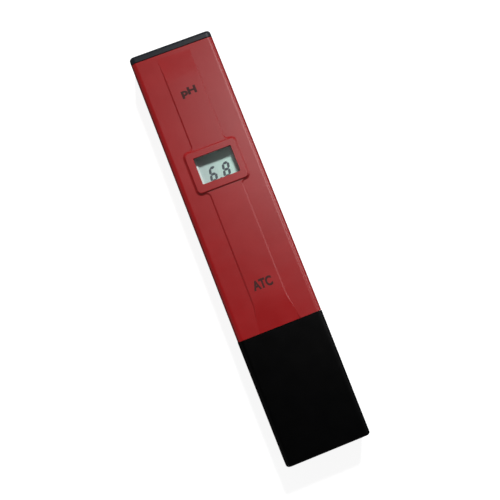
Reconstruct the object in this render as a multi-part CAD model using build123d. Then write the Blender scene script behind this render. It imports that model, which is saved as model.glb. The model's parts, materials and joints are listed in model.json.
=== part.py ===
"""pH test pen: a flat pocket meter with a red two-shell body and a black slip-off cap.

Frame: millimetres. The pen lies on its back. +X is its width, seen from the front with the
battery end up, +Y runs along it towards the battery end, and +Z comes out of its front face.
The origin is the centre of the footprint, on the plane of the rear face.
"""

from build123d import *
import math
import os

# ---------------------------------------------------------------- driving dimensions
overall_length = 150.0
wall = 1.5
edge_radius = 1.8
cavity_radius = 0.6

# LR44 button cells set the depth of the body, and with the switch beside them its width
cell_diameter = 11.6
width_beside_cells = 18.7
cell_height = 5.4
cell_count = 3
cell_clearance = 0.2
bay_wall = 1.1

# top end cap, with the battery drawer on the left and the power switch on the right
end_cap_thickness = 2.65
seam_gap = 0.1
end_cap_skirt = 2.4
skirt_wall = 1.0
end_edge_radius = 1.0
end_seam_chamfer = 0.25
drawer_wall = 0.9
drawer_clearance = 0.15
drawer_front_thickness = 4.8

# protective cap
cap_length = 44.0
cap_wall = 1.5
cap_floor = 2.0
cap_clearance = 0.2
cap_proud = 0.1
cap_draft = 0.25
cap_gap = 0.1
sponge_thickness = 3.5

# front face: a low raised strip, and a higher bezel round the display window
strip_width = 12.2
strip_height = 0.35
strip_slope = 0.5
strip_top_inset = 1.5
strip_top_ramp = 8.0
strip_bottom_ramp = 9.5
strip_bottom_flare = 1.3
strip_ramp_blend = 90.0
scoop_depth = 0.2
bezel_width = 19.8
bezel_height = 16.2
bezel_offset_x = -0.25
bezel_offset_y = -0.2
bezel_rise = 0.8
bezel_radius = 2.1
bezel_wall_slope = 0.3
bezel_edge_radius = 0.25
bezel_root_radius = 1.2
window_width = 13.7
window_height = 9.7
window_from_top = 46.8

# display, from the window lens down to the circuit board
lens_recess = 1.2
lens_thickness = 1.2
lens_margin = 1.2
display_gap = 0.3
frame_lip = 0.7
polariser_thickness = 0.2
lcd_thickness = 1.8
lcd_width = 18.4
lcd_height = 14.6
lcd_fit = 0.1
frame_wall = 0.7
view_width = 12.2
view_height = 10.8
zebra_width = 1.8

# circuit board
board_thickness = 1.0
board_side_gap = 0.9
screw_inset_x = 5.0
screw_inset_y = 11.0
screw_diameter = 1.6
screw_length = 5.0
screw_head_diameter = 3.0
screw_head_height = 1.1
post_diameter = 4.4
thread_gap = 0.01

# power slide switch
switch_width = 8.6
switch_size = 3.6
switch_travel = 2.0
switch_sheet = 0.2
switch_from_bay = 1.05
actuator_size = 1.5
knob_width = 4.0
knob_gap = 0.2

# calibration trimmer, turned with a screwdriver through the rear cover
trimmer_x = 4.5
trimmer_from_window = 24.0
trimmer_body_size = 6.8
trimmer_height = 3.4
rotor_diameter = 3.2
rotor_clearance = 0.06
access_diameter = 3.2

# probe
sleeve_to_sponge = 5.5
sleeve_wall = 1.6
hollow_radius = 0.8
sleeve_groove = 0.8
carrier_recess = 6.0
carrier_length = 14.0
carrier_fit = 0.1
stem_diameter = 5.0
stem_wall = 0.7
stem_length = 18.0
bulb_diameter = 5.8
bulb_wall = 0.3
stem_x = -4.5
reference_x = 2.6
thermistor_x = 8.4
thermistor_diameter = 3.0
lead_diameter = 0.9
thermistor_lead_diameter = 0.6

# ---------------------------------------------------------------- places worked out from them
body_width = cell_diameter + width_beside_cells
body_depth = cell_diameter + 2 * (cell_clearance + bay_wall)
mid_z = body_depth / 2
top_y = overall_length / 2
bottom_y = -overall_length / 2
cap_mouth_y = bottom_y + cap_length
body_end_y = cap_mouth_y + cap_gap
plate_y = top_y - end_cap_thickness
shell_top_y = plate_y - seam_gap
inner_x = body_width / 2 - wall
window_y = top_y - window_from_top
bezel_z = body_depth + bezel_rise
strip_z = body_depth + strip_height

lens_top_z = bezel_z - lens_recess
lens_bottom_z = lens_top_z - lens_thickness
frame_top_z = lens_bottom_z - display_gap
glass_top_z = frame_top_z - frame_lip
lcd_top_z = glass_top_z - polariser_thickness
lcd_bottom_z = lcd_top_z - lcd_thickness
board_top_z = mid_z + 0.1
board_bottom_z = board_top_z - board_thickness

drawer_left_x = -inner_x + cell_clearance
drawer_width = cell_diameter + 0.2 + 2 * drawer_wall
drawer_x = drawer_left_x + drawer_width / 2
drawer_right_x = drawer_left_x + drawer_width
bay_right_x = drawer_right_x + cell_clearance
cell_top_y = top_y - drawer_front_thickness - 0.5
cell_bottom_y = cell_top_y - cell_count * cell_height
drawer_end_y = cell_bottom_y - 1.1
bay_end_y = drawer_end_y - 1.4
rib_thickness = 0.7

switch_top_y = plate_y - 4.2
switch_bottom_y = switch_top_y - switch_size
switch_z = board_top_z + switch_size / 2

board_left_x = -inner_x + board_side_gap
board_right_x = inner_x - board_side_gap
board_end_y = body_end_y + 4.7
board_top_y = bay_end_y - 2.0
arm_left_x = bay_right_x + rib_thickness + 0.25
switch_x = arm_left_x + switch_from_bay + switch_width / 2
knob_x = switch_x + switch_travel / 2

sleeve_width = body_width - 2 * (cap_wall + cap_clearance)
sleeve_depth = body_depth - 2 * (cap_wall + cap_clearance)
hollow_width = sleeve_width - 2 * sleeve_wall
hollow_depth = sleeve_depth - 2 * sleeve_wall
sleeve_end_y = bottom_y + cap_floor + sponge_thickness + sleeve_to_sponge
carrier_face_y = sleeve_end_y + carrier_recess
carrier_back_y = carrier_face_y + carrier_length
stem_end_y = carrier_face_y - 0.2
stem_back_y = stem_end_y + stem_length
trimmer_y = window_y - trimmer_from_window


# ---------------------------------------------------------------- shape helpers
def block(x_low, x_high, y_low, y_high, z_low, z_high):
    """A box given by its limits."""
    size = (x_high - x_low, y_high - y_low, z_high - z_low)
    return Pos(x_low, y_low, z_low) * Box(*size, align=(Align.MIN, Align.MIN, Align.MIN))


def along_y(x, y, z):
    """A sketch plane across the pen, whose normal is +Y."""
    return Plane(origin=(x, y, z), x_dir=(1, 0, 0), z_dir=(0, 1, 0))


def bar(width, depth, radius, y_low, y_high, x=0.0, z=mid_z):
    """A bar along Y with a rounded rectangular section."""
    section = along_y(x, y_low, z) * RectangleRounded(width, depth, radius)
    return extrude(section, amount=y_high - y_low)


def rod(diameter, y_low, y_high, x, z=mid_z):
    """A round bar along Y."""
    return extrude(along_y(x, y_low, z) * Circle(diameter / 2), amount=y_high - y_low)


def post(diameter, z_low, z_high, x, y):
    """A round bar along Z."""
    return Pos(x, y, z_low) * extrude(Circle(diameter / 2), amount=z_high - z_low)


def plate(width, height, radius, z_low, z_high, x, y):
    """A rounded rectangular plate that lies flat."""
    return Pos(x, y, z_low) * extrude(RectangleRounded(width, height, radius), amount=z_high - z_low)


# ---------------------------------------------------------------- body shells
def body_outline():
    return bar(body_width, body_depth, edge_radius, body_end_y, shell_top_y)


def body_cavity():
    """The hollow in both shells, with its neck opening and the deeper battery bay."""
    hollow = bar(2 * inner_x, body_depth - 2 * wall, cavity_radius, body_end_y + wall, shell_top_y + 1)
    groove_width = sleeve_width - 2 * sleeve_groove + 2 * carrier_fit
    groove_depth = sleeve_depth - 2 * sleeve_groove + 2 * carrier_fit
    neck = bar(groove_width, groove_depth, 0.6, body_end_y - 1, body_end_y + wall + 0.5)
    bay = block(-inner_x, bay_right_x, bay_end_y, shell_top_y + 1, bay_wall, body_depth - bay_wall)
    return hollow + neck + bay


def parting_groove():
    """A fine line round the long sides where the two shells meet."""
    depth, height = 0.15, 0.2
    sides = []
    for side in (-1, 1):
        edge = side * body_width / 2
        low, high = sorted((edge - side * depth, edge + side))
        sides.append(
            block(low, high, body_end_y, shell_top_y, mid_z - height / 2, mid_z + height / 2)
        )
    return sides[0] + sides[1]


def seam_tongues(clearance):
    """Ridges of the rear shell that stand inside the side walls of the front shell."""
    tongue_height, tongue_thickness = 1.0, 0.6
    ridges = []
    for side in (-1, 1):
        low, high = sorted((side * inner_x, side * (inner_x + tongue_thickness + clearance)))
        ridges.append(
            block(
                low,
                high,
                body_end_y + 2 * wall - clearance,
                bay_end_y + clearance,
                mid_z - 0.01 * (clearance == 0),
                mid_z + tongue_height + clearance,
            )
        )
    return ridges[0] + ridges[1]


def relief_ends():
    """Where the raised strip starts, at the cap, and where it ends, near the end cap."""
    return body_end_y, shell_top_y - strip_top_inset


def scoop_run():
    """How far from the cap the strip's foot meets the level of the front face."""
    return strip_bottom_ramp * scoop_depth / (strip_height + scoop_depth)


def strip_outline(inset):
    """The strip in plan, with a foot that flares towards the cap."""
    low_y, high_y = relief_ends()
    half = strip_width / 2 - inset
    flare_y = low_y + strip_bottom_ramp
    outline = Polyline(
        (-half - strip_bottom_flare, low_y),
        (-half, flare_y),
        (-half, high_y - inset),
        (half, high_y - inset),
        (half, flare_y),
        (half + strip_bottom_flare, low_y),
        close=True,
    )
    return make_face(outline)


def front_relief():
    """The raised strip and the bezel on the front face."""
    low_y, high_y = relief_ends()
    bezel_x, bezel_y = bezel_offset_x, window_y + bezel_offset_y
    bezel = Pos(bezel_x, bezel_y) * RectangleRounded(bezel_width, bezel_height, bezel_radius)
    footprint = strip_outline(0) + bezel
    roots = [
        v
        for v in footprint.vertices()
        if abs(abs(v.X) - strip_width / 2) < 0.01 and abs(v.Y - window_y) < bezel_height
    ]
    footprint = fillet(roots, bezel_root_radius)
    crest = offset(footprint, amount=-strip_slope, kind=Kind.INTERSECTION)
    base = loft([(Pos(0, 0, body_depth) * footprint).face(), (Pos(0, 0, strip_z) * crest).face()], ruled=True)
    side_view = Polyline(
        (low_y + scoop_run(), body_depth),
        (low_y + strip_bottom_ramp, strip_z),
        (high_y - strip_top_ramp, strip_z),
        (high_y, body_depth),
        close=True,
    )
    profile = make_face(side_view)
    profile = fillet(profile.vertices().group_by(Axis.Y)[-1], strip_ramp_blend)
    ramps = extrude(Plane.YZ * profile, amount=bezel_width, both=True)
    step = 2 * strip_slope
    rim_low = RectangleRounded(bezel_width - step, bezel_height - step, bezel_radius - strip_slope)
    step += 2 * bezel_wall_slope
    rim_radius = bezel_radius - strip_slope - bezel_wall_slope
    rim_high = RectangleRounded(bezel_width - step, bezel_height - step, rim_radius)
    rim = loft([Pos(bezel_x, bezel_y, strip_z) * rim_low, Pos(bezel_x, bezel_y, bezel_z) * rim_high])
    rim = fillet(rim.faces().sort_by(Axis.Z)[-1].edges(), bezel_edge_radius)
    return (base & ramps) + rim


def cap_end_scoop():
    """The strip's foot runs on down to a little below the front face at the cap."""
    low_y, _ = relief_ends()
    side_view = Polyline(
        (low_y - 1, body_depth - scoop_depth * (1 + 1 / scoop_run())),
        (low_y + scoop_run(), body_depth),
        (low_y - 1, body_depth + 1),
        close=True,
    )
    wedge = extrude(Plane.YZ * make_face(side_view), amount=bezel_width, both=True)
    prism = Pos(0, 0, body_depth - 1) * extrude(strip_outline(0), amount=2)
    return wedge & prism


def screw_places():
    x = inner_x - screw_inset_x + 1.5
    return [
        (side * x, y)
        for y in (body_end_y + screw_inset_y, bay_end_y - 7.0)
        for side in (-1, 1)
    ]


def front_cover():
    upper = block(
        -body_width, body_width, body_end_y - 1, top_y, mid_z, body_depth + 5
    )
    shell = (body_outline() & upper) - body_cavity() - parting_groove()
    shell -= seam_tongues(0.05)
    shell = shell + front_relief() - cap_end_scoop()
    inner_z = body_depth - wall
    for x, y in screw_places():
        shell += post(post_diameter, board_top_z, inner_z + 0.2, x, y)
        shell -= post(screw_diameter + 2 * thread_gap, board_top_z - 1, inner_z - 0.4, x, y)
    rib_z = mid_z + 2.8
    shell += block(-inner_x - 0.2, bay_right_x, bay_end_y - rib_thickness, bay_end_y, rib_z, inner_z + 0.2)
    shell += block(
        bay_right_x, bay_right_x + rib_thickness,
        bay_end_y - rib_thickness, plate_y - end_cap_skirt - 0.4, rib_z - 1.2, inner_z + 0.2,
    )
    pocket = plate(
        window_width + 2 * lens_margin, window_height + 2 * lens_margin, 0.5,
        lens_bottom_z - 1, lens_top_z, 0, window_y,
    )
    opening = plate(window_width, window_height, 0.3, lens_bottom_z - 1, bezel_z + 1, 0, window_y)
    return shell - pocket - opening


def rear_cover():
    lower = block(-body_width, body_width, body_end_y - 1, top_y, -1, mid_z)
    shell = (body_outline() & lower) - body_cavity() - parting_groove() + seam_tongues(0)
    rib_z = mid_z - 2.8
    shell += block(-inner_x - 0.2, bay_right_x, bay_end_y - rib_thickness, bay_end_y, wall - 0.2, rib_z)
    shell += block(
        bay_right_x, bay_right_x + rib_thickness,
        bay_end_y - rib_thickness, plate_y - end_cap_skirt - 0.4, wall - 0.2, rib_z + 1.2,
    )
    for x, y in screw_places():
        rest = post(post_diameter, wall - 0.2, board_bottom_z - screw_head_height - 0.3, x, y)
        shell += rest
    shell += post(access_diameter + 2.4, wall - 0.2, wall + 0.3, trimmer_x, trimmer_y)
    shell -= post(access_diameter, -1, wall + 1, trimmer_x, trimmer_y)
    lead_in = Pos(trimmer_x, trimmer_y, 0.15) * Cone(access_diameter / 2 + 0.3, access_diameter / 2, 0.3)
    return shell - lead_in


# ---------------------------------------------------------------- top end
def knob_window():
    """The slot in the end cap that the power knob moves in."""
    half = knob_width / 2 + switch_travel / 2 + knob_gap
    return block(
        switch_x - half, switch_x + half, plate_y - 1, top_y + 1,
        mid_z - knob_width / 2 - knob_gap, mid_z + knob_width / 2 + knob_gap,
    )


def top_end_cap():
    plug = bar(body_width, body_depth, edge_radius, plate_y, top_y)
    plug = fillet(plug.faces().sort_by(Axis.Y)[-1].edges(), end_edge_radius)
    plug = chamfer(plug.faces().sort_by(Axis.Y)[0].edges(), end_seam_chamfer)
    drawer_hole = block(
        drawer_left_x - drawer_clearance, drawer_right_x + drawer_clearance,
        plate_y - 1, top_y + 1,
        mid_z - cell_diameter / 2 - cell_clearance - 0.05,
        mid_z + cell_diameter / 2 + cell_clearance + 0.05,
    )
    fit = 0.1
    low_x, high_x = arm_left_x + 0.1, inner_x - fit
    low_z, high_z = wall + fit, body_depth - wall - fit
    skirt = bar(2 * high_x, high_z - low_z, cavity_radius, plate_y - end_cap_skirt, plate_y + 0.5)
    skirt &= block(low_x, body_width, bottom_y, top_y, 0, body_depth)
    skirt -= block(
        low_x - 1, high_x - skirt_wall, plate_y - end_cap_skirt - 1, plate_y,
        low_z + skirt_wall, high_z - skirt_wall,
    )
    return (plug + skirt) - drawer_hole - knob_window()


def battery_drawer():
    half_cell = cell_diameter / 2 + 0.1
    face_half = cell_diameter / 2 + cell_clearance - 0.1
    front = block(
        drawer_left_x, drawer_right_x, top_y - drawer_front_thickness, top_y,
        mid_z - face_half, mid_z + face_half,
    )
    front = chamfer(front.faces().sort_by(Axis.Y)[-1].edges(), 0.2)
    tray = block(
        drawer_left_x, drawer_right_x, drawer_end_y, top_y - drawer_front_thickness + 0.5,
        mid_z - 4.9, mid_z + 3.0,
    )
    tray -= rod(2 * half_cell, cell_bottom_y - 0.05, top_y - drawer_front_thickness, drawer_x)
    tray -= block(
        drawer_x - half_cell, drawer_x + half_cell,
        cell_bottom_y - 0.05, top_y - drawer_front_thickness, mid_z, mid_z + 4,
    )
    tray -= block(
        drawer_x - 2.6, drawer_x + 2.6, drawer_end_y - 1, cell_bottom_y + 1, mid_z - 2.3, mid_z + 4,
    )
    nail_notch = Pos(drawer_x, top_y + 0.6, mid_z + 2.6) * Rot(0, 90, 0) * Cylinder(1.8, 8)
    contact_slot = contact_shape(0.03)
    return front + tray - nail_notch - contact_slot


def contact_shape(clearance):
    """The bent strip that joins the outer cell to the side of the drawer."""
    c = clearance
    end_y = top_y - drawer_front_thickness - 0.1
    across = block(
        drawer_x - 2.5 - c, drawer_right_x + c, end_y - 0.3 - c, end_y + c, mid_z - 1 - c, mid_z + 1 + c
    )
    side = block(
        drawer_right_x - 0.2 - c, drawer_right_x + c, end_y - 11 - c, end_y + c,
        mid_z - 1 - c, mid_z + 1 + c,
    )
    return across + side


def button_cell(index):
    low_y = cell_bottom_y + index * cell_height
    can_low_y = low_y + 0.45
    can = rod(cell_diameter, can_low_y, low_y + cell_height, drawer_x)
    can = fillet(can.edges().filter_by(GeomType.CIRCLE), 0.45)
    lid = rod(cell_diameter - 3.2, low_y, can_low_y + 0.2, drawer_x)
    lid = chamfer(lid.faces().sort_by(Axis.Y)[0].edges(), 0.2)
    return can + lid


# ---------------------------------------------------------------- power switch
def switch_can():
    half = switch_width / 2
    s = switch_sheet
    shell = block(
        switch_x - half, switch_x + half, switch_bottom_y, switch_top_y,
        board_top_z, board_top_z + switch_size,
    )
    shell -= block(
        switch_x - half + s, switch_x + half - s, switch_bottom_y - 1, switch_top_y - s,
        board_top_z + s, board_top_z + switch_size - s,
    )
    slot = actuator_size / 2 + switch_travel / 2 + 0.3
    shell -= block(
        switch_x - slot, switch_x + slot, switch_top_y - 1, switch_top_y + 1,
        switch_z - actuator_size / 2 - 0.1, switch_z + actuator_size / 2 + 0.1,
    )
    return shell


def switch_base():
    half = switch_width / 2 - switch_sheet
    return block(
        switch_x - half, switch_x + half, switch_bottom_y, switch_bottom_y + 1.4,
        board_top_z + switch_sheet, board_top_z + switch_size - switch_sheet,
    )


def switch_pin_places():
    return [switch_x + step * 2.5 for step in (-1, 0, 1)]


def switch_pins():
    pins = []
    for x in switch_pin_places():
        leg = block(x - 0.25, x + 0.25, switch_bottom_y - 2.0, switch_bottom_y, switch_z - 0.2, switch_z + 0.2)
        leg += block(
            x - 0.25, x + 0.25, switch_bottom_y - 2.0, switch_bottom_y - 1.6,
            board_bottom_z - 0.6, switch_z + 0.2,
        )
        pins.append(leg)
    return Compound(children=pins)


def switch_actuator():
    half = actuator_size / 2
    foot = block(
        knob_x - 1.8, knob_x + 1.8, switch_bottom_y + 1.5, switch_top_y - switch_sheet - 0.1,
        switch_z - 1.4, switch_z + 1.4,
    )
    return foot + block(
        knob_x - half, knob_x + half, switch_bottom_y + 2, plate_y - 1.0, switch_z - half, switch_z + half
    )


def switch_knob():
    flange_half = knob_width / 2 + switch_travel + 0.2
    flange = block(
        knob_x - flange_half, knob_x + flange_half, plate_y - 1.6, plate_y - 0.2, mid_z - 3.5, mid_z + 3.5
    )
    half = knob_width / 2
    head = block(knob_x - half, knob_x + half, plate_y - 1, top_y - 0.3, mid_z - half, mid_z + half)
    head = chamfer(head.faces().sort_by(Axis.Y)[-1].edges(), 0.25)
    for step in (-1, 0, 1):
        x = knob_x + step * 1.1
        head -= block(x - 0.25, x + 0.25, top_y - 0.7, top_y, mid_z - half - 1, mid_z + half + 1)
    socket_half = actuator_size / 2 + 0.95
    socket = block(
        knob_x - socket_half, knob_x + socket_half, plate_y - 3.2, plate_y - 1,
        switch_z - socket_half, switch_z + 1.5,
    )
    hole_half = actuator_size / 2 + 0.05
    hole = block(
        knob_x - hole_half, knob_x + hole_half, plate_y - 4, plate_y - 0.8,
        switch_z - hole_half, switch_z + hole_half,
    )
    return flange + head + socket - hole


# ---------------------------------------------------------------- display
def window_lens():
    return plate(
        window_width + 2 * lens_margin, window_height + 2 * lens_margin, 0.5,
        lens_bottom_z, lens_top_z, 0, window_y,
    )


def lcd_frame():
    outer_width = lcd_width + 2 * (lcd_fit + frame_wall)
    outer_height = lcd_height + 2 * (lcd_fit + frame_wall)
    holder = plate(outer_width, outer_height, 0.8, board_top_z, frame_top_z, 0, window_y)
    holder -= block(
        -lcd_width / 2 - lcd_fit, lcd_width / 2 + lcd_fit,
        window_y - lcd_height / 2 - lcd_fit, window_y + lcd_height / 2 + lcd_fit,
        board_top_z - 1, glass_top_z,
    )
    return holder - plate(view_width, view_height, 0.2, glass_top_z - 1, frame_top_z + 1, 0, window_y)


def lcd_glass():
    """Two glass plates bonded together; the upper one leaves the contact ledges free."""
    low = plate(lcd_width, lcd_height, 0.1, lcd_bottom_z, lcd_bottom_z + lcd_thickness / 2, 0, window_y)
    high = plate(
        lcd_width, lcd_height - 2, 0.1, lcd_bottom_z + lcd_thickness / 2, lcd_top_z, 0, window_y
    )
    return low + high


def lcd_front_polariser():
    return plate(lcd_width - 0.6, lcd_height - 2.4, 0.1, lcd_top_z, glass_top_z, 0, window_y)


def zebra_y():
    return lcd_height / 2 - zebra_width / 2 - 0.1


def lcd_reflector():
    height = 2 * (zebra_y() - zebra_width / 2 - 0.2)
    return plate(lcd_width - 0.6, height, 0.1, lcd_bottom_z - polariser_thickness, lcd_bottom_z, 0, window_y)


def zebra_strip(side):
    y = window_y + side * zebra_y()
    return block(
        -lcd_width / 2 + 0.4, lcd_width / 2 - 0.4, y - zebra_width / 2, y + zebra_width / 2,
        board_top_z, lcd_bottom_z,
    )


# ---------------------------------------------------------------- circuit board
def circuit_board():
    board = block(
        board_left_x, board_right_x, board_end_y, board_top_y, board_bottom_z, board_top_z
    )
    board += block(
        arm_left_x + 0.2, board_right_x, board_top_y - 1, switch_top_y - 0.6, board_bottom_z, board_top_z
    )
    for x, y in screw_places():
        board -= post(screw_diameter + 0.3, board_bottom_z - 1, board_top_z + 1, x, y)
    for x in switch_pin_places():
        board -= post(0.9, board_bottom_z - 1, board_top_z + 1, x, switch_bottom_y - 1.8)
    return board


def board_screw(x, y):
    head_low = board_bottom_z - screw_head_height
    head = post(screw_head_diameter, head_low, board_bottom_z, x, y)
    head = fillet(head.faces().sort_by(Axis.Z)[0].edges(), 0.4)
    shank = post(screw_diameter, board_bottom_z - 0.1, board_bottom_z + screw_length, x, y)
    for angle in (0, 90):
        head -= Pos(x, y, head_low) * Rot(0, 0, angle) * Box(1.7, 0.4, 1.0)
    return head + shank


def controller_blob():
    """The drop of black resin over the bare controller chip."""
    radius, height = 4.2, 1.3
    ball = (radius**2 + height**2) / (2 * height)
    dome = Pos(-4.0, window_y - 2, board_bottom_z - height + ball) * Sphere(ball)
    return dome & block(-20, 20, window_y - 20, window_y + 20, board_bottom_z - height, board_bottom_z)


def op_amp_chip():
    x, y = -5.0, window_y - 26.0
    chip = block(x - 2.0, x + 2.0, y - 2.5, y + 2.5, board_bottom_z - 1.6, board_bottom_z - 0.15)
    for step in range(4):
        for side in (-1, 1):
            lead_y = y - 1.9 + step * 1.27
            low, high = sorted((x + side * 1.9, x + side * 2.9))
            chip += block(low, high, lead_y - 0.2, lead_y + 0.2, board_bottom_z - 0.25, board_bottom_z)
    return chip


def chip_row(x, count, pitch, length, width, height, first_from_window):
    """A row of small chips soldered to the rear of the board."""
    chips = []
    for step in range(count):
        y = window_y - first_from_window - step * pitch
        chips.append(
            block(
                x - length / 2, x + length / 2, y - width / 2, y + width / 2,
                board_bottom_z - height, board_bottom_z,
            )
        )
    return chips


def chip_resistors():
    return Compound(
        children=chip_row(-9.6, 5, 2.6, 2.0, 1.2, 0.5, 14.0) + chip_row(0.2, 4, 2.6, 2.0, 1.2, 0.5, 30.0)
    )


def chip_capacitors():
    return Compound(
        children=chip_row(9.4, 3, 3.0, 2.0, 1.3, 1.0, 14.0) + chip_row(-1.0, 3, 3.0, 2.0, 1.3, 1.0, 12.5)
    )


# ---------------------------------------------------------------- trimmer
def trimmer_body():
    half = trimmer_body_size / 2
    low_z = board_bottom_z - trimmer_height
    body = block(
        trimmer_x - half, trimmer_x + half, trimmer_y - half, trimmer_y + half, low_z, board_bottom_z
    )
    body -= post(rotor_diameter + 2 * rotor_clearance, low_z - 1, low_z + 1.2, trimmer_x, trimmer_y)
    return body - post(1.5 + 2 * rotor_clearance, low_z, low_z + 2.4, trimmer_x, trimmer_y)


def trimmer_rotor():
    low_z = board_bottom_z - trimmer_height
    disc = post(rotor_diameter, low_z - 0.5, low_z + 1.1, trimmer_x, trimmer_y)
    disc = chamfer(disc.faces().sort_by(Axis.Z)[0].edges(), 0.2)
    shaft = post(1.5, low_z + 1, low_z + 2.3, trimmer_x, trimmer_y)
    rotor = disc + shaft
    for angle in (35, 125):
        rotor -= Pos(trimmer_x, trimmer_y, low_z - 0.5) * Rot(0, 0, angle) * Box(2.4, 0.55, 1.0)
    return rotor


# ---------------------------------------------------------------- battery contacts
def battery_end_contact():
    foot = block(
        drawer_x - 2.2, drawer_x + 2.2, board_top_y - 2.5, cell_bottom_y - 0.1, board_top_z, board_top_z + 0.25
    )
    pad = block(
        drawer_x - 2.2, drawer_x + 2.2, cell_bottom_y - 0.4, cell_bottom_y - 0.1, mid_z - 2.0, mid_z + 2.0
    )
    return foot + pad


def battery_side_contact():
    high_y = top_y - drawer_front_thickness - 3
    blade = block(
        drawer_right_x + 0.12, drawer_right_x + 0.32, high_y - 6, high_y, mid_z - 0.8, mid_z + 0.8
    )
    foot = block(
        drawer_right_x + 0.12, arm_left_x + 2.0, switch_bottom_y - 2.1, switch_bottom_y - 0.1,
        board_top_z, board_top_z + 0.2,
    )
    return blade + foot


# ---------------------------------------------------------------- probe
def probe_sleeve():
    flange_y = body_end_y + wall + 2.5
    sleeve = bar(sleeve_width, sleeve_depth, 1.3, sleeve_end_y, flange_y)
    sleeve = chamfer(sleeve.faces().sort_by(Axis.Y)[0].edges(), 0.4)
    ring = bar(sleeve_width + 1, sleeve_depth + 1, 1.0, body_end_y - 0.05, body_end_y + wall + 0.05)
    ring -= bar(
        sleeve_width - 2 * sleeve_groove, sleeve_depth - 2 * sleeve_groove, 0.6, body_end_y - 1, flange_y
    )
    sleeve -= ring
    sleeve -= bar(hollow_width, hollow_depth, hollow_radius, sleeve_end_y - 1, flange_y + 1)
    notch_depth = 3.6
    notch = block(
        stem_x - 2.5, stem_x + 2.5, sleeve_end_y - 1, sleeve_end_y + notch_depth, -5, body_depth + 5
    )
    return sleeve - notch


def carrier_section(inset, y_low, y_high):
    """A slice of the carrier, smaller than the sleeve's hollow by inset all round."""
    radius = max(hollow_radius - inset, 0.3)
    return bar(hollow_width - 2 * inset, hollow_depth - 2 * inset, radius, y_low, y_high)


def seal_limits():
    return carrier_face_y + 8.0, carrier_face_y + 10.0


def probe_carrier():
    seal_low, seal_high = seal_limits()
    carrier = carrier_section(carrier_fit, carrier_face_y, carrier_back_y)
    carrier -= bar(hollow_width + 1, hollow_depth + 1, 0.5, seal_low, seal_high) - carrier_section(
        0.7, seal_low - 1, seal_high + 1
    )
    carrier -= rod(stem_diameter + 0.1, carrier_face_y - 1, carrier_back_y + 1, stem_x)
    carrier -= rod(5.0, carrier_face_y + 2.2, carrier_back_y + 1, reference_x)
    carrier -= rod(2.4, carrier_face_y - 1, carrier_face_y + 3, reference_x)
    return carrier - rod(thermistor_diameter + 0.1, carrier_face_y - 1, carrier_back_y + 1, thermistor_x)


def carrier_seal():
    seal_low, seal_high = seal_limits()
    ring = carrier_section(0, seal_low + 0.05, seal_high - 0.05)
    return ring - carrier_section(0.7, seal_low - 1, seal_high + 1)


def glass_stem():
    tube = rod(stem_diameter, stem_end_y, stem_back_y, stem_x)
    return tube - rod(stem_diameter - 2 * stem_wall, stem_end_y - 1, stem_back_y + 1, stem_x)


def glass_bulb():
    """The thin glass membrane, a ball cut where it joins the stem."""
    radius = bulb_diameter / 2
    drop = math.sqrt(radius**2 - (stem_diameter / 2) ** 2)
    centre = Pos(stem_x, stem_end_y - drop, mid_z)
    shell = centre * Sphere(radius) - centre * Sphere(radius - bulb_wall)
    return shell & block(-20, 20, sleeve_end_y, stem_end_y, 0, body_depth)


def stem_stopper():
    stopper = rod(stem_diameter - 2 * stem_wall - 0.05, stem_back_y - 2.5, stem_back_y, stem_x)
    return stopper - rod(0.55, stem_back_y - 4, stem_back_y + 1, stem_x)


def sensing_wire():
    return rod(0.5, stem_end_y - 1.6, stem_back_y + 0.6, stem_x)


def reference_wire():
    return rod(0.5, carrier_face_y + 3.0, carrier_back_y + 0.6, reference_x)


def reference_junction():
    return rod(2.36, carrier_face_y, carrier_face_y + 2.2, reference_x)


def reference_stopper():
    stopper = rod(4.96, carrier_back_y - 2.5, carrier_back_y, reference_x)
    return stopper - rod(0.55, carrier_back_y - 4, carrier_back_y + 1, reference_x)


def thermistor_sleeve():
    low_y = carrier_face_y - 3.0
    tube = rod(thermistor_diameter, low_y, carrier_face_y + 6.0, thermistor_x)
    tube = fillet(tube.faces().sort_by(Axis.Y)[0].edges(), 1.0)
    return tube - rod(thermistor_diameter - 0.6, low_y + 0.6, carrier_face_y + 7, thermistor_x)


def thermistor_bead():
    bead = rod(1.8, carrier_face_y - 2.2, carrier_face_y + 0.6, thermistor_x)
    return fillet(bead.edges().filter_by(GeomType.CIRCLE), 0.6)


def lead(points, diameter):
    """An insulated wire: straight runs joined by the largest arcs that they allow."""
    radii = []
    for before, here, after in zip(points, points[1:], points[2:]):
        run_in, run_out = Vector(*here) - Vector(*before), Vector(*after) - Vector(*here)
        turn = math.radians(run_in.get_angle(run_out))
        radii.append(0.45 * min(run_in.length, run_out.length) / math.tan(turn / 2))
    print("wire arcs", [round(r, 1) for r in radii])
    path = FilletPolyline(*points, radius=radii)
    start = Vector(*points[0])
    direction = Vector(*points[1]) - start
    section = Plane(origin=start, z_dir=direction) * Circle(diameter / 2)
    return sweep(section, path=path)


def lead_route(x_start, y_start, x_end, diameter):
    """From the probe's back to the solder pads on the lower end of the board."""
    pad_z = board_top_z + diameter / 2
    pad_y = board_end_y + 2.6
    span = pad_y - y_start
    bow = 0.8
    return [
        (x_start, y_start, mid_z),
        (x_start, y_start + 0.28 * span, mid_z + 0.15),
        (x_start + 0.5 * (x_end - x_start) + bow, y_start + 0.55 * span, pad_z + 0.25),
        (x_end, pad_y - 0.25 * span, pad_z),
        (x_end, pad_y, pad_z + 0.01),
    ]


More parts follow.
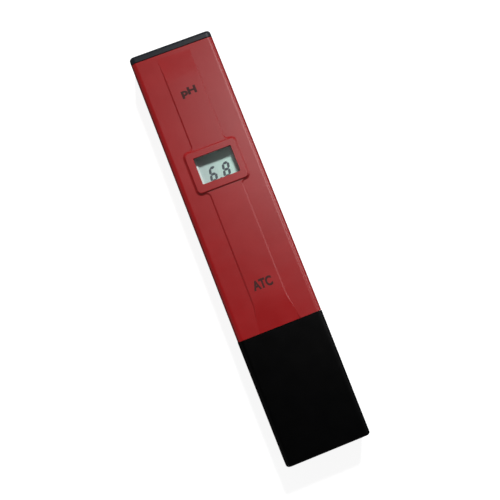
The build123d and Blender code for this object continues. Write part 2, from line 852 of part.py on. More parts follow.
def lead_table():
    """Name, start x, start y, pad x and diameter of each wire."""
    return [
        ("electrode_lead", stem_x, stem_back_y + 0.6, stem_x - 1.0, lead_diameter),
        ("reference_lead", reference_x, carrier_back_y + 0.6, reference_x - 1.2, lead_diameter),
        ("thermistor_lead_1", thermistor_x - 0.5, carrier_face_y + 0.7, thermistor_x - 2.5,
         thermistor_lead_diameter),
        ("thermistor_lead_2", thermistor_x + 0.5, carrier_face_y + 0.7, thermistor_x + 0.4,
         thermistor_lead_diameter),
    ]


def solder_joints():
    domes = []
    for _, _, _, x, diameter in lead_table():
        y = board_end_y + 2.6 + 0.7
        ball = Pos(x, y, board_top_z) * Sphere(0.7)
        domes.append(ball & block(x - 2, x + 2, y - 2, y + 2, board_top_z, board_top_z + 2))
    return Compound(children=domes)


# ---------------------------------------------------------------- protective cap
def cap_depth(y_share):
    """Depth of the cap from its mouth, 0, to its closed end, 1."""
    return body_depth + cap_proud - 0.2 * y_share


def protective_cap():
    mouth_width = body_width + 2 * cap_proud
    end_width = mouth_width - 2 * cap_draft
    sections = []
    for y, width, depth in (
        (cap_mouth_y, mouth_width, cap_depth(0)),
        (bottom_y, end_width, cap_depth(1)),
    ):
        z = cap_depth(0) / 2
        sections.append(along_y(0, y, z) * RectangleRounded(width, depth, edge_radius))
    cap = loft(sections)
    cap = fillet(cap.faces().sort_by(Axis.Y)[0].edges(), end_edge_radius)
    return cap - bar(
        body_width - 2 * cap_wall, body_depth - 2 * cap_wall, 1.4, bottom_y + cap_floor, cap_mouth_y + 1
    )


def storage_sponge():
    gap = 0.2
    return bar(
        body_width - 2 * (cap_wall + gap), body_depth - 2 * (cap_wall + gap), 1.2,
        bottom_y + cap_floor, bottom_y + cap_floor + sponge_thickness,
    )


# ---------------------------------------------------------------- write every sub-part
def all_parts():
    parts = {
        "front_cover": front_cover(),
        "rear_cover": rear_cover(),
        "top_end_cap": top_end_cap(),
        "window_lens": window_lens(),
        "lcd_frame": lcd_frame(),
        "lcd_glass": lcd_glass(),
        "lcd_front_polariser": lcd_front_polariser(),
        "lcd_reflector": lcd_reflector(),
        "zebra_strip_upper": zebra_strip(1),
        "zebra_strip_lower": zebra_strip(-1),
        "circuit_board": circuit_board(),
        "controller_blob": controller_blob(),
        "op_amp_chip": op_amp_chip(),
        "chip_resistors": chip_resistors(),
        "chip_capacitors": chip_capacitors(),
        "trimmer_body": trimmer_body(),
        "trimmer_rotor": trimmer_rotor(),
        "switch_base": switch_base(),
        "switch_can": switch_can(),
        "switch_pins": switch_pins(),
        "switch_actuator": switch_actuator(),
        "switch_knob": switch_knob(),
        "battery_drawer": battery_drawer(),
        "drawer_contact": contact_shape(0),
        "battery_end_contact": battery_end_contact(),
        "battery_side_contact": battery_side_contact(),
        "probe_sleeve": probe_sleeve(),
        "probe_carrier": probe_carrier(),
        "carrier_seal": carrier_seal(),
        "glass_stem": glass_stem(),
        "glass_bulb": glass_bulb(),
        "stem_stopper": stem_stopper(),
        "sensing_wire": sensing_wire(),
        "reference_wire": reference_wire(),
        "reference_junction": reference_junction(),
        "reference_stopper": reference_stopper(),
        "thermistor_sleeve": thermistor_sleeve(),
        "thermistor_bead": thermistor_bead(),
        "solder_joints": solder_joints(),
        "protective_cap": protective_cap(),
        "storage_sponge": storage_sponge(),
    }
    for index in range(cell_count):
        parts[f"button_cell_{index + 1}"] = button_cell(index)
    for index, (x, y) in enumerate(screw_places()):
        parts[f"board_screw_{index + 1}"] = board_screw(x, y)
    for name, x_start, y_start, x_end, diameter in lead_table():
        parts[name] = lead(lead_route(x_start, y_start, x_end, diameter), diameter)
    return parts


os.makedirs("parts", exist_ok=True)
for name, shape in all_parts().items():
    export_step(shape, f"parts/{name}.step")
    print(f"{name}: {len(shape.solids())} solid, {shape.volume:.1f} mm3")
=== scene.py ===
"""Looks of the pH test pen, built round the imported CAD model.

Lengths are in metres, in the model's own frame: X is the pen's width, +Y points to its battery
end, +Z comes out of its front face, and it lies on its back on the floor at z = 0.
"""

import json
import math

import bmesh
import bpy
from mathutils import Matrix, Vector, noise


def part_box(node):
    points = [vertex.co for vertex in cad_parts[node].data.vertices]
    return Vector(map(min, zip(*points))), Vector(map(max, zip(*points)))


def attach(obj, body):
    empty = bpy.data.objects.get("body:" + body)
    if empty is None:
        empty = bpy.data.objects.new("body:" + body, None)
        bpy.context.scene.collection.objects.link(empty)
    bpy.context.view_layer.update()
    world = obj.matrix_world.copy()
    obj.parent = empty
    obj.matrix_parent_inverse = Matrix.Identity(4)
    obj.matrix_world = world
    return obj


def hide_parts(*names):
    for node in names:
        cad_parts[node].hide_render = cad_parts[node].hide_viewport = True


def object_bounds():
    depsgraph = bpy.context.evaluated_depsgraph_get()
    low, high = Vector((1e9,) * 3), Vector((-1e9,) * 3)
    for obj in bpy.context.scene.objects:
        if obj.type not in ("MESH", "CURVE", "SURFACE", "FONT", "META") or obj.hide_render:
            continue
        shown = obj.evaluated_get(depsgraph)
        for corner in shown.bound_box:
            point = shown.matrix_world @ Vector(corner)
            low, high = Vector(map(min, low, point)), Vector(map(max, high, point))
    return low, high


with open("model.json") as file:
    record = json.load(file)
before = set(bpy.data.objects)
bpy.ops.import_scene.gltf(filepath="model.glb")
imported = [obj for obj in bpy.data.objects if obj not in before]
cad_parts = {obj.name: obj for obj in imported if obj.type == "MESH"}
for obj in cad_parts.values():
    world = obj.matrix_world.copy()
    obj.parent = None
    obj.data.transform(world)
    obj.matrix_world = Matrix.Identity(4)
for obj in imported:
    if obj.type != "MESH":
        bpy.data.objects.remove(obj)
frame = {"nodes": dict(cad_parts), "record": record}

MM = 0.001
CAD_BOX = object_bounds()
COLLECTION = bpy.context.scene.collection


# ---------------------------------------------------------------- material nodes
def rgb(red, green, blue):
    """A linear colour from display values of 0 to 255."""
    return tuple((value / 255) ** 2.2 for value in (red, green, blue)) + (1.0,)


class Look:
    """A procedural material, with short calls that add nodes to it and link them."""

    def __init__(self, name):
        self.material = bpy.data.materials.new(name)
        self.material.use_nodes = True
        self.tree = self.material.node_tree
        self.tree.nodes.clear()
        self.output = self.tree.nodes.new("ShaderNodeOutputMaterial")
        self.place = self.tree.nodes.new("ShaderNodeTexCoord").outputs["Object"]

    def add(self, kind, **settings):
        node = self.tree.nodes.new("ShaderNode" + kind)
        for key, value in settings.items():
            setattr(node, key, value)
        return node

    def put(self, node, socket, value):
        """Links an output to a socket, or sets the socket's own value."""
        target = node.inputs[socket]
        if isinstance(value, bpy.types.NodeSocket):
            self.tree.links.new(value, target)
        else:
            target.default_value = value

    def stretched(self, scale):
        """The object's coordinates, scaled along each axis."""
        mapping = self.add("Mapping")
        self.put(mapping, "Vector", self.place)
        self.put(mapping, "Scale", scale)
        return mapping.outputs["Vector"]

    def noise(self, size, detail=2.0, vector=None, distortion=0.0):
        """Soft blotches about size metres across."""
        node = self.add("TexNoise")
        self.put(node, "Vector", vector or self.place)
        self.put(node, "Scale", 1.0 / size)
        self.put(node, "Detail", detail)
        self.put(node, "Distortion", distortion)
        return node.outputs["Fac"]

    def cells(self, size, feature="F1", vector=None):
        """Distances in a pattern of cells about size metres across."""
        node = self.add("TexVoronoi", feature=feature)
        self.put(node, "Vector", vector or self.place)
        self.put(node, "Scale", 1.0 / size)
        return node.outputs["Distance"]

    def ramp(self, value, start, end, low=0.0, high=1.0):
        """Maps start..end of a value to low..high."""
        node = self.add("MapRange")
        for socket, number in zip(("Value", "From Min", "From Max", "To Min", "To Max"),
                                  (value, start, end, low, high)):
            self.put(node, socket, number)
        return node.outputs["Result"]

    def maths(self, operation, first, second):
        node = self.add("Math", operation=operation)
        self.put(node, 0, first)
        self.put(node, 1, second)
        return node.outputs[0]

    def mix(self, share, first, second):
        node = self.add("Mix", data_type="RGBA")
        self.put(node, "Factor", share)
        self.put(node, 6, first)
        self.put(node, 7, second)
        return node.outputs[2]

    def edges(self, reach):
        """1 on outward edges, 0 further than reach metres from them."""
        node = self.add("AmbientOcclusion", inside=True, only_local=True, samples=6)
        self.put(node, "Distance", reach)
        return self.ramp(node.outputs["AO"], 0.95, 0.55)

    def scratches(self, spacing, along):
        """Hairlines that lie mostly along one axis, in patches."""
        lines = self.cells(spacing, "DISTANCE_TO_EDGE", self.stretched(along))
        hairline = self.ramp(lines, 0.015, 0.0)
        return self.maths("MULTIPLY", hairline, self.ramp(self.noise(0.011), 0.56, 0.7))

    def bump(self, height, depth, below=None):
        """A normal from a height of 0 to 1 that stands for depth metres."""
        node = self.add("Bump")
        self.put(node, "Height", height)
        self.put(node, "Distance", depth)
        if below is not None:
            self.put(node, "Normal", below)
        return node.outputs["Normal"]

    def surface(self, **sockets):
        shader = self.add("BsdfPrincipled")
        for name, value in sockets.items():
            self.put(shader, name.replace("_", " "), value)
        self.finish(shader.outputs["BSDF"])

    def finish(self, shader):
        self.put(self.output, "Surface", shader)


# ---------------------------------------------------------------- finishes
def moulded(name, pale, deep, roughness, specular=0.5, grain=0.00028, depth=0.000007, wear=0.25):
    """Moulded plastic: faint colour flow, a spark-eroded grain, hairlines and rubbed edges."""
    look = Look(name)
    flow = look.noise(0.017, detail=4.0, distortion=0.8)
    speck = look.maths("MULTIPLY", look.noise(0.0007), 0.3)
    tone = look.ramp(look.maths("ADD", flow, speck), 0.45, 0.85)
    scratches = look.scratches(0.0009, (1.0, 0.04, 1.0))
    rubbed = look.maths("MULTIPLY", look.edges(0.0009), look.ramp(look.noise(0.0021), 0.35, 0.65))
    marks = look.maths("MAXIMUM", rubbed, look.maths("MULTIPLY", scratches, 0.1))
    worn = tuple(min(1.0, value * 1.5 + 0.006) for value in pale[:3]) + (1.0,)
    colour = look.mix(look.maths("MULTIPLY", marks, wear), look.mix(tone, deep, pale), worn)
    shine = look.ramp(look.noise(0.0045, detail=3.0), 0.3, 0.7, roughness - 0.02, roughness + 0.02)
    grains = look.bump(look.noise(grain), depth)
    waves = look.bump(look.noise(0.010, detail=1.0), 0.000015, below=grains)
    look.surface(
        Base_Color=colour,
        Roughness=look.maths("SUBTRACT", shine, look.maths("MULTIPLY", rubbed, 0.03)),
        Normal=look.bump(scratches, -0.0000004, below=waves),
        Specular_IOR_Level=specular,
    )
    return look.material


def metal(name, bright, dull, roughness, brushed=(1.0, 12.0, 12.0)):
    """Plated or drawn metal: fine lines along one axis, dull patches and polished edges."""
    look = Look(name)
    lines = look.noise(0.0016, vector=look.stretched(brushed))
    tarnish = look.ramp(look.noise(0.0032, detail=5.0), 0.42, 0.72)
    rubbed = look.edges(0.0004)
    base = look.mix(look.maths("MULTIPLY", tarnish, 0.7), bright, dull)
    rough = look.ramp(look.maths("ADD", tarnish, lines), 0.2, 1.6, roughness - 0.06, roughness + 0.16)
    look.surface(
        Base_Color=look.mix(look.maths("MULTIPLY", rubbed, 0.5), base, rgb(240, 240, 238)),
        Metallic=1.0,
        Roughness=look.maths("SUBTRACT", rough, look.maths("MULTIPLY", rubbed, 0.08)),
        Normal=look.bump(lines, 0.000006, below=look.bump(look.noise(0.003), 0.00002)),
    )
    return look.material


def rubber(name, pale, deep, roughness=0.6):
    """Rubber or soft insulation: matt, with dust in its fine texture."""
    look = Look(name)
    dust = look.ramp(look.noise(0.0009, detail=5.0), 0.45, 0.75)
    tone = look.mix(look.ramp(look.noise(0.006), 0.35, 0.65), deep, pale)
    bloom = tuple(value * 0.7 + 0.12 for value in pale[:3]) + (1.0,)
    grains = look.bump(look.noise(0.0002, detail=3.0), 0.000012)
    look.surface(
        Base_Color=look.mix(look.maths("MULTIPLY", dust, 0.18), tone, bloom),
        Roughness=look.ramp(dust, 0.0, 1.0, roughness - 0.08, roughness + 0.12),
        Normal=look.bump(look.noise(0.0017), 0.00003, below=grains),
        Specular_IOR_Level=0.4,
    )
    return look.material


def clear(name, tint, edge_tint):
    """Clear plastic or glass: see-through, glossy by angle, with faint wiping marks."""
    look = Look(name)
    clean, wiped = 0.03, 0.1
    head_on_gloss = 0.04
    facing = look.add("LayerWeight")
    look.put(facing, "Blend", 0.5)
    slant = facing.outputs["Facing"]
    smear = look.ramp(look.noise(0.004, detail=4.0, vector=look.stretched((1.0, 0.35, 1.0))), 0.4, 0.75)
    see_through = look.add("BsdfTransparent")
    look.put(see_through, "Color", look.mix(look.ramp(slant, 0.4, 1.0), tint, edge_tint))
    shine = look.add("BsdfGlossy")
    look.put(shine, "Color", look.mix(smear, rgb(255, 255, 255), rgb(236, 240, 240)))
    look.put(shine, "Roughness", look.ramp(smear, 0.0, 1.0, clean, wiped))
    look.put(shine, "Normal", look.bump(look.scratches(0.0016, (1.0, 0.1, 1.0)), -0.000002))
    both = look.add("MixShader")
    look.put(both, 0, look.ramp(look.maths("POWER", slant, 5.0), 0.0, 1.0, head_on_gloss, 1.0))
    look.put(both, 1, see_through.outputs[0])
    look.put(both, 2, shine.outputs[0])
    look.finish(both.outputs[0])
    return look.material


def display_film(name):
    """The display's grey-green film: even, with a silvery grain, and painted light that makes its right
    side lighter and greener.
    """
    look = Look(name)
    split = look.add("SeparateXYZ")
    look.put(split, 0, look.place)
    # painted light: the film's colour is lighter and greener towards its right side
    across = look.ramp(split.outputs["X"], -0.005, 0.005)
    grain = look.ramp(look.noise(0.00022, detail=3.0), 0.3, 0.7)
    left = look.mix(grain, rgb(188, 202, 202), rgb(205, 216, 215))
    right = look.mix(grain, rgb(204, 228, 222), rgb(221, 243, 235))
    look.surface(
        Base_Color=look.mix(across, left, right),
        Roughness=look.ramp(look.noise(0.0021), 0.3, 0.7, 0.34, 0.46),
        Normal=look.bump(grain, 0.000003),
        Specular_IOR_Level=0.2,
    )
    return look.material


def liquid_crystal(name):
    """Dark display figures, slightly uneven, with a violet cast at their borders."""
    look = Look(name)
    cloud = look.ramp(look.noise(0.0008, detail=3.0), 0.35, 0.65)
    colour = look.mix(cloud, rgb(66, 78, 84), rgb(80, 92, 96))
    look.surface(
        Base_Color=look.mix(look.maths("MULTIPLY", look.edges(0.0001), 0.5), colour, rgb(92, 88, 100)),
        Roughness=look.ramp(cloud, 0.0, 1.0, 0.36, 0.46),
        Normal=look.bump(look.noise(0.0003), 0.000002),
    )
    return look.material


def ink(name):
    """Pad-printed ink: thin, matt, with pinholes that let the red through."""
    look = Look(name)
    pinholes = look.ramp(look.noise(0.00018, detail=4.0), 0.60, 0.72)
    body = look.mix(look.noise(0.0012), rgb(46, 24, 24), rgb(62, 34, 33))
    look.surface(
        Base_Color=look.mix(look.maths("MULTIPLY", pinholes, 0.6), body, rgb(128, 34, 36)),
        Roughness=look.ramp(pinholes, 0.0, 1.0, 0.62, 0.45),
        Normal=look.bump(pinholes, -0.000008),
        Specular_IOR_Level=0.4,
    )
    return look.material


def circuit_laminate(name):
    """Green solder mask over copper tracks and via holes."""
    look = Look(name)
    track_space = look.stretched((1.0, 0.25, 1.0))
    tracks = look.ramp(look.cells(0.0016, "DISTANCE_TO_EDGE", track_space), 0.10, 0.16)
    vias = look.ramp(look.cells(0.0034), 0.16, 0.11)
    mask = look.mix(look.noise(0.009, detail=3.0), rgb(12, 82, 48), rgb(20, 104, 60))
    raised = look.mix(tracks, rgb(36, 130, 78), mask)
    look.surface(
        Base_Color=look.mix(vias, raised, rgb(196, 190, 170)),
        Metallic=look.maths("MULTIPLY", vias, 0.8),
        Roughness=look.ramp(look.noise(0.001), 0.3, 0.7, 0.28, 0.42),
        Normal=look.bump(tracks, -0.00003),
    )
    return look.material


def chip_ceramic(name, pale, deep):
    """Small chip parts: a glazed body with a tinned band at each end."""
    look = Look(name)
    mottle = look.ramp(look.noise(0.0004, detail=4.0), 0.35, 0.65)
    tinned = look.edges(0.00035)
    look.surface(
        Base_Color=look.mix(tinned, look.mix(mottle, deep, pale), rgb(205, 205, 202)),
        Metallic=look.maths("MULTIPLY", tinned, 0.9),
        Roughness=look.ramp(mottle, 0.0, 1.0, 0.25, 0.45),
        Normal=look.bump(mottle, 0.00001),
    )
    return look.material


def foam(name):
    """Damp cellulose sponge: open pores of two sizes, yellower inside them, and darker there with
    painted shade.
    """
    look = Look(name)
    large = look.ramp(look.cells(0.0011), 0.25, 0.5)
    small = look.ramp(look.cells(0.0004), 0.2, 0.5)
    pores_and_painted_shade = look.maths("MULTIPLY", large, look.ramp(small, 0.0, 1.0, 0.6, 1.0))
    skin = look.mix(look.noise(0.005, detail=3.0), rgb(226, 214, 178), rgb(238, 230, 202))
    look.surface(
        # painted shade: the pores are painted darker as well as yellower than the skin
        Base_Color=look.mix(pores_and_painted_shade, rgb(172, 148, 98), skin),
        Roughness=look.ramp(pores_and_painted_shade, 0.0, 1.0, 0.55, 0.9),
        Normal=look.bump(pores_and_painted_shade, 0.00022),
        Subsurface_Weight=0.15,
        Subsurface_Radius=(0.0008, 0.0006, 0.0004),
    )
    return look.material


def shade(red, green, blue, finish, name, spread=0.86, **settings):
    """A finish made from one display colour and a deeper tone of it."""
    deep = rgb(red * spread, green * spread, blue * spread)
    return finish(name, rgb(red, green, blue), deep, **settings)


def make_looks():
    """One material for each slot of the record."""
    end_black = dict(finish=moulded, roughness=0.36, specular=0.45)
    along_y = (12, 1, 12)
    red = dict(specular=0.6, grain=0.00028, depth=0.000006, wear=0.3)
    return {
        "red_shell": moulded("red_shell", rgb(141, 24, 26), rgb(134, 18, 20), roughness=0.32, **red),
        "neck_shell": moulded("neck_shell", rgb(136, 23, 25), rgb(128, 17, 19), roughness=0.34, **red),
        "end_cap_black": shade(28, 32, 38, name="end_cap_black", **end_black),
        "drawer_black": shade(28, 32, 38, name="drawer_black", **end_black),
        "cap_black": shade(5, 5, 6, moulded, "cap_black", roughness=0.32, specular=0.15, wear=0.1),
        "knob_black": shade(24, 25, 28, moulded, "knob_black", roughness=0.46),
        "clear_window": clear("clear_window", rgb(248, 251, 250), rgb(226, 236, 234)),
        "lcd_holder": shade(238, 240, 240, moulded, "lcd_holder", spread=0.97, roughness=0.5),
        "lcd_glass": clear("lcd_glass", rgb(228, 238, 234), rgb(150, 184, 172)),
        "polariser": display_film("polariser"),
        "lcd_segment": liquid_crystal("lcd_segment"),
        "reflector": metal("reflector", rgb(206, 210, 206), rgb(176, 182, 178), 0.42),
        "zebra_rubber": shade(188, 178, 172, rubber, "zebra_rubber"),
        "board_green": circuit_laminate("board_green"),
        "chip_black": shade(34, 34, 36, moulded, "chip_black", roughness=0.5, grain=0.0001),
        "resistor_black": chip_ceramic("resistor_black", rgb(40, 40, 44), rgb(24, 24, 27)),
        "capacitor_tan": chip_ceramic("capacitor_tan", rgb(186, 154, 112), rgb(160, 126, 86)),
        "solder": metal("solder", rgb(214, 214, 212), rgb(168, 168, 166), 0.22),
        "steel_screw": metal("steel_screw", rgb(206, 207, 210), rgb(150, 150, 156), 0.28),
        "trimmer_blue": shade(38, 92, 168, moulded, "trimmer_blue", roughness=0.38),
        "trimmer_white": shade(236, 230, 214, moulded, "trimmer_white", spread=0.93, roughness=0.48),
        "switch_metal": metal("switch_metal", rgb(216, 216, 214), rgb(170, 169, 164), 0.3),
        "switch_plastic": shade(40, 38, 36, moulded, "switch_plastic", roughness=0.5),
        "contact_metal": metal("contact_metal", rgb(222, 218, 208), rgb(176, 168, 150), 0.24),
        "cell_metal": metal("cell_metal", rgb(212, 212, 209), rgb(166, 166, 164), 0.2, along_y),
        "probe_black": shade(36, 36, 39, moulded, "probe_black", roughness=0.42),
        "seal_rubber": shade(58, 58, 60, rubber, "seal_rubber"),
        "probe_glass": clear("probe_glass", rgb(236, 244, 243), rgb(150, 178, 178)),
        "stopper_rubber": shade(168, 84, 66, rubber, "stopper_rubber"),
        "silver_wire": metal("silver_wire", rgb(232, 230, 224), rgb(150, 144, 134), 0.2, along_y),
        "junction_white": shade(226, 221, 206, rubber, "junction_white", spread=0.92, roughness=0.75),
        "thermistor_steel": metal(
            "thermistor_steel", rgb(208, 208, 207), rgb(172, 171, 168), 0.24, along_y,
        ),
        "bead_black": shade(58, 54, 48, moulded, "bead_black", roughness=0.4),
        "lead_red": shade(176, 34, 30, rubber, "lead_red", roughness=0.45),
        "lead_black": shade(36, 36, 38, rubber, "lead_black", roughness=0.45),
        "lead_white": shade(224, 223, 218, rubber, "lead_white", roughness=0.45),
        "print_ink": ink("print_ink"),
        "sponge_white": foam("sponge_white"),
    }


def paint_nodes(looks):
    """Gives every CAD node the look of its slot."""
    for part in frame["record"]["subparts"]:
        materials = frame["nodes"][part["node"]].data.materials
        materials.clear()
        materials.append(looks[part["material_slot"]])


# ---------------------------------------------------------------- pieces
WINDOW = (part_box("window_lens")[0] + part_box("window_lens")[1]) / 2
DISPLAY_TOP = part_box("lcd_front_polariser")[1].z
BEZEL_ABOVE_STRIP = 0.45 * MM
STRIP_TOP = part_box("front_cover")[1].z - BEZEL_ABOVE_STRIP
INK_THICKNESS = 0.02 * MM

# the display's figures, and how far under the window's middle they stand
FILM_THICKNESS = 0.012 * MM
FIGURE_WIDTH = 1.85 * MM
FIGURE_HEIGHT = 4.5 * MM
FIGURE_SLANT = 0.18
BAR_THICKNESS = 0.9 * MM
BAR_GAP = 0.05 * BAR_THICKNESS
FIGURES_LOW_Y = WINDOW.y - 4.15 * MM
POINT_RADIUS = 0.33 * MM

# the storage sponge: its rounded edges, and the depth and spacing of its pores
SPONGE_RADIUS = 0.7 * MM
PORE_SPACING = 0.9 * MM
PORE_DEPTH = 0.32 * MM
PORE_SHARE = 0.42
RIPPLE_DEPTH = 0.05 * MM
RIPPLE_LENGTH = 2.5 * MM


def add_piece(name, mesh, looks, body, slot):
    """A new object that rides on a body and has the finish of a slot."""
    piece = bpy.data.objects.new(name, mesh)
    COLLECTION.objects.link(piece)
    mesh.materials.clear()
    mesh.materials.append(looks[slot])
    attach(piece, body)
    return piece


def lettering(name, words, centre, width, height, weight, looks):
    """Raised print, bold, fitted to a width and height on the strip."""
    curve = bpy.data.curves.new(name, "FONT")
    curve.body = words
    curve.offset = weight
    curve.extrude = 0.5
    curve.resolution_u = 5
    text = bpy.data.objects.new(name + "_text", curve)
    COLLECTION.objects.link(text)
    bpy.context.view_layer.update()
    mesh = bpy.data.meshes.new_from_object(text.evaluated_get(bpy.context.evaluated_depsgraph_get()))
    bpy.data.objects.remove(text)
    low = Vector(min(v.co[axis] for v in mesh.vertices) for axis in range(3))
    high = Vector(max(v.co[axis] for v in mesh.vertices) for axis in range(3))
    size = (width, height, INK_THICKNESS)
    place = (centre[0] - width / 2, centre[1] - height / 2, STRIP_TOP)
    for vertex in mesh.vertices:
        for axis in range(3):
            share = (vertex.co[axis] - low[axis]) / (high[axis] - low[axis])
            vertex.co[axis] = place[axis] + share * size[axis]
    add_piece(name, mesh, looks, "housing", "print_ink")


def add_prints(looks):
    """The two printed words, one above the window and one below it."""
    above = (WINDOW.x + 0.25 * MM, WINDOW.y + 27.7 * MM)
    lettering("print_ph", "pH", above, width=5.6 * MM, height=3.6 * MM, weight=0.05, looks=looks)
    below = (WINDOW.x - 0.3 * MM, WINDOW.y - 43.55 * MM)
    lettering("print_atc", "ATC", below, width=6.96 * MM, height=3.47 * MM, weight=0.04, looks=looks)


def bar_outline(start, end):
    """A display segment: a bar with pointed ends between two points."""
    along = (end - start).normalized() * BAR_THICKNESS / 2
    side = Vector((-along.y, along.x))
    one_side = [start, start + along + side, end - along + side]
    return one_side + [end, end - along - side, start + along - side]


def figure(lit, corner):
    """The outlines of a seven segment figure whose lit bars are named by letters."""
    heights = (0, FIGURE_HEIGHT / 2, FIGURE_HEIGHT)
    left_low, left_mid, left_top = (Vector((0, y)) for y in heights)
    right_low, right_mid, right_top = (Vector((FIGURE_WIDTH, y)) for y in heights)
    ends = {
        "a": (left_top, right_top),
        "b": (right_top, right_mid),
        "c": (right_mid, right_low),
        "d": (right_low, left_low),
        "e": (left_low, left_mid),
        "f": (left_mid, left_top),
        "g": (left_mid, right_mid),
    }
    outlines = []
    for letter in lit:
        start, end = ends[letter]
        step = (end - start).normalized() * BAR_GAP
        outline = bar_outline(start + step, end - step)
        outlines.append([Vector((corner.x + p.x + FIGURE_SLANT * p.y, corner.y + p.y)) for p in outline])
    return outlines


def plates(name, outlines, low_z, thickness):
    """A mesh of thin flat plates, one for each outline."""
    builder = bmesh.new()
    for outline in outlines:
        base = builder.faces.new([builder.verts.new((p.x, p.y, low_z)) for p in outline])
        raised = bmesh.ops.extrude_face_region(builder, geom=[base])["geom"]
        tops = [v for v in raised if isinstance(v, bmesh.types.BMVert)]
        bmesh.ops.translate(builder, verts=tops, vec=(0, 0, thickness))
    bmesh.ops.recalc_face_normals(builder, faces=builder.faces)
    mesh = bpy.data.meshes.new(name)
    builder.to_mesh(mesh)
    builder.free()
    return mesh


def add_display_figures(looks):
    """The reading 6.8 in slanted seven segment figures."""
    outlines = []
    for lit, left_x in (("acdefg", -3.42 * MM), ("abcdefg", 1.42 * MM)):
        outlines += figure(lit, Vector((WINDOW.x + left_x, FIGURES_LOW_Y)))
    point = Vector((WINDOW.x, FIGURES_LOW_Y))
    turns = [math.tau * k / 12 for k in range(12)]
    outlines.append([point + Vector((math.cos(turn), math.sin(turn))) * POINT_RADIUS for turn in turns])
    mesh = plates("display_figures", outlines, DISPLAY_TOP, FILM_THICKNESS)
    add_piece("display_figures", mesh, looks, "housing", "lcd_segment")


def sponge_surface(point, middle, half):
    """Where a point on the sponge's box lies once its edges are rounded and its pores are open."""
    core = Vector(max(-(h - SPONGE_RADIUS), min(h - SPONGE_RADIUS, p)) for p, h in zip(point, half))
    outward = (point - core).normalized()
    pore = noise.voronoi((middle + point) / PORE_SPACING)[0][0]
    depth = PORE_DEPTH * max(0.0, 1 - pore / PORE_SHARE) ** 0.7
    ripple = RIPPLE_DEPTH * (1 + noise.noise(point / RIPPLE_LENGTH))
    return middle + core + outward * (SPONGE_RADIUS - depth - ripple)


def add_sponge(looks):
    """The storage sponge: a rounded block with open pores and uneven faces."""
    low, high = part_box("storage_sponge")
    middle, half = (low + high) / 2, (high - low) / 2
    builder = bmesh.new()
    bmesh.ops.create_cube(builder, size=2.0)
    for axis, cuts in ((0, 64), (1, 9), (2, 26)):
        runs = [e for e in builder.edges if abs((e.verts[0].co - e.verts[1].co)[axis]) > 0.5]
        bmesh.ops.subdivide_edges(builder, edges=runs, cuts=cuts, use_grid_fill=True)
    for vertex in builder.verts:
        point = Vector(vertex.co[axis] * half[axis] for axis in range(3))
        vertex.co = sponge_surface(point, middle, half)
    mesh = bpy.data.meshes.new("porous_sponge")
    builder.to_mesh(mesh)
    builder.free()
    for polygon in mesh.polygons:
        polygon.use_smooth = True
    sponge = add_piece("porous_sponge", mesh, looks, "protective_cap", "sponge_white")
    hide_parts("storage_sponge")


# ---------------------------------------------------------------- camera, lights and floor
CAMERA_AZIMUTH = math.radians(-33.4)
CAMERA_ELEVATION = math.radians(82.9)
CAMERA_LEAN = math.radians(21.36)
CAMERA_DISTANCE = 0.24495
CAMERA_LENS_MM = 50.4
CAMERA_TARGET = Vector((0.42, -2.59, 7.0)) * MM
PANEL_DISTANCE = 0.6
FLOOR_HALF = 12.0
FLOOR_BELOW_PEN = 0.02 * MM


def add_camera():
    """Looks down on the pen, leaning so that the pen lies across the picture."""
    level = math.cos(CAMERA_ELEVATION)
    back = Vector((
        math.sin(CAMERA_AZIMUTH) * level,
        -math.cos(CAMERA_AZIMUTH) * level,
        math.sin(CAMERA_ELEVATION),
    ))
    lean = Vector((math.sin(CAMERA_LEAN), math.cos(CAMERA_LEAN), 0))
    right = lean.cross(back).normalized()
    camera = bpy.data.objects.new("camera", bpy.data.cameras.new("camera"))
    COLLECTION.objects.link(camera)
    camera.data.lens = CAMERA_LENS_MM
    camera.data.sensor_width = 36.0
    camera.data.clip_start = 0.01
    camera.data.clip_end = 30.0
    turn = Matrix((right, back.cross(right), back)).transposed().to_4x4()
    camera.matrix_world = Matrix.Translation(CAMERA_TARGET + back * CAMERA_DISTANCE) @ turn
    bpy.context.scene.camera = camera


def add_lamp(name, kind, direction, distance, power):
    """A lamp that shines from a direction on to the pen, unseen by the camera."""
    lamp = bpy.data.objects.new(name, bpy.data.lights.new(name, kind))
    COLLECTION.objects.link(lamp)
    lamp.data.energy = power
    away = Vector(direction).normalized()
    lamp.location = CAMERA_TARGET + away * distance
    lamp.rotation_mode = "QUATERNION"
    lamp.rotation_quaternion = away.to_track_quat("Z", "Y")
    lamp.visible_camera = False
    return lamp


def add_softbox(name, direction, width, height, brightness):
    """A soft panel of a given brightness, which only makes reflections."""
    power = brightness * math.pi * width * height
    panel = add_lamp(name, "AREA", direction, PANEL_DISTANCE, power)
    panel.data.shape = "RECTANGLE"
    panel.data.size = width
    panel.data.size_y = height
    panel.visible_diffuse = False


def add_lamps():
    """A key lamp that makes no highlights, and two panels that make only highlights."""
    key = add_lamp("key", "SUN", direction=(0.35, 0.88, 1.0), distance=2.0, power=4.0)
    key.data.angle = math.radians(8.5)
    key.visible_glossy = False
    add_softbox("right_panel", (0.44, 0.36, 1.0), width=0.28, height=0.28, brightness=5.2)
    add_softbox("side_panel", (0.88, 0.2, 0.46), width=0.28, height=0.18, brightness=4.5)


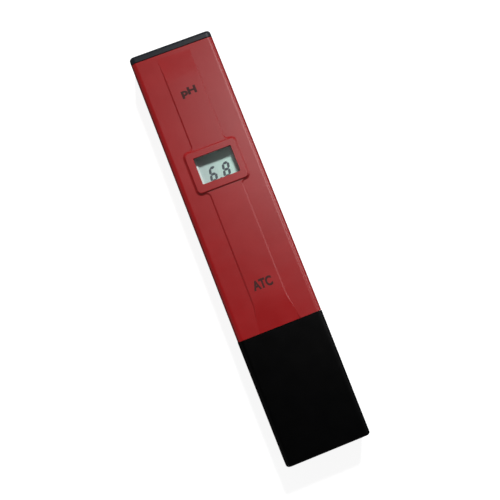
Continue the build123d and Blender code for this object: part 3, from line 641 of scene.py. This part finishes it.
def add_world():
    """White behind the pen, and a dim studio that is brighter towards its walls."""
    world = bpy.data.worlds.new("studio")
    bpy.context.scene.world = world
    world.use_nodes = True
    nodes, links = world.node_tree.nodes, world.node_tree.links
    nodes.clear()
    direction = nodes.new("ShaderNodeTexCoord")
    split = nodes.new("ShaderNodeSeparateXYZ")
    links.new(direction.outputs["Generated"], split.inputs[0])
    fade = nodes.new("ShaderNodeMapRange")
    links.new(split.outputs["Z"], fade.inputs["Value"])
    fade.inputs["To Min"].default_value = 0.34
    fade.inputs["To Max"].default_value = 0.05
    room = nodes.new("ShaderNodeBackground")
    links.new(fade.outputs["Result"], room.inputs["Strength"])
    backdrop = nodes.new("ShaderNodeBackground")
    for background in (room, backdrop):
        background.inputs["Color"].default_value = (1, 1, 1, 1)
    path = nodes.new("ShaderNodeLightPath")
    pick = nodes.new("ShaderNodeMixShader")
    links.new(path.outputs["Is Camera Ray"], pick.inputs[0])
    links.new(room.outputs[0], pick.inputs[1])
    links.new(backdrop.outputs[0], pick.inputs[2])
    output = nodes.new("ShaderNodeOutputWorld")
    links.new(pick.outputs[0], output.inputs["Surface"])


def floor_look():
    """Near-white card with a faint shadow, which reflects little light on to the pen's edges."""
    look = Look("floor")
    path = look.add("LightPath")
    glow = look.add("Emission")
    look.put(glow, "Strength", 0.9)
    card = look.add("BsdfDiffuse")
    look.put(card, "Color", rgb(150, 150, 150))
    bright = look.add("AddShader")
    look.put(bright, 0, glow.outputs[0])
    look.put(bright, 1, card.outputs[0])
    dim = look.add("BsdfDiffuse")
    look.put(dim, "Color", look.mix(path.outputs["Is Glossy Ray"], rgb(160, 160, 160), rgb(70, 70, 70)))
    pick = look.add("MixShader")
    look.put(pick, 0, path.outputs["Is Camera Ray"])
    look.put(pick, 1, dim.outputs[0])
    look.put(pick, 2, bright.outputs[0])
    look.finish(pick.outputs[0])
    return look.material


def add_floor():
    """A wide floor just under the pen's back."""
    mesh = bpy.data.meshes.new("floor")
    corners = [(x * FLOOR_HALF, y * FLOOR_HALF, 0) for x, y in ((-1, -1), (1, -1), (1, 1), (-1, 1))]
    mesh.from_pydata(corners, [], [(0, 1, 2, 3)])
    mesh.materials.append(floor_look())
    floor = bpy.data.objects.new("floor", mesh)
    COLLECTION.objects.link(floor)
    floor.location.z = CAD_BOX[0].z - FLOOR_BELOW_PEN


# ---------------------------------------------------------------- the scene
def main():
    bpy.context.scene.view_settings.view_transform = "Standard"
    add_camera()
    add_lamps()
    add_world()
    add_floor()
    looks = make_looks()
    paint_nodes(looks)
    add_prints(looks)
    add_display_figures(looks)
    add_sponge(looks)


main()
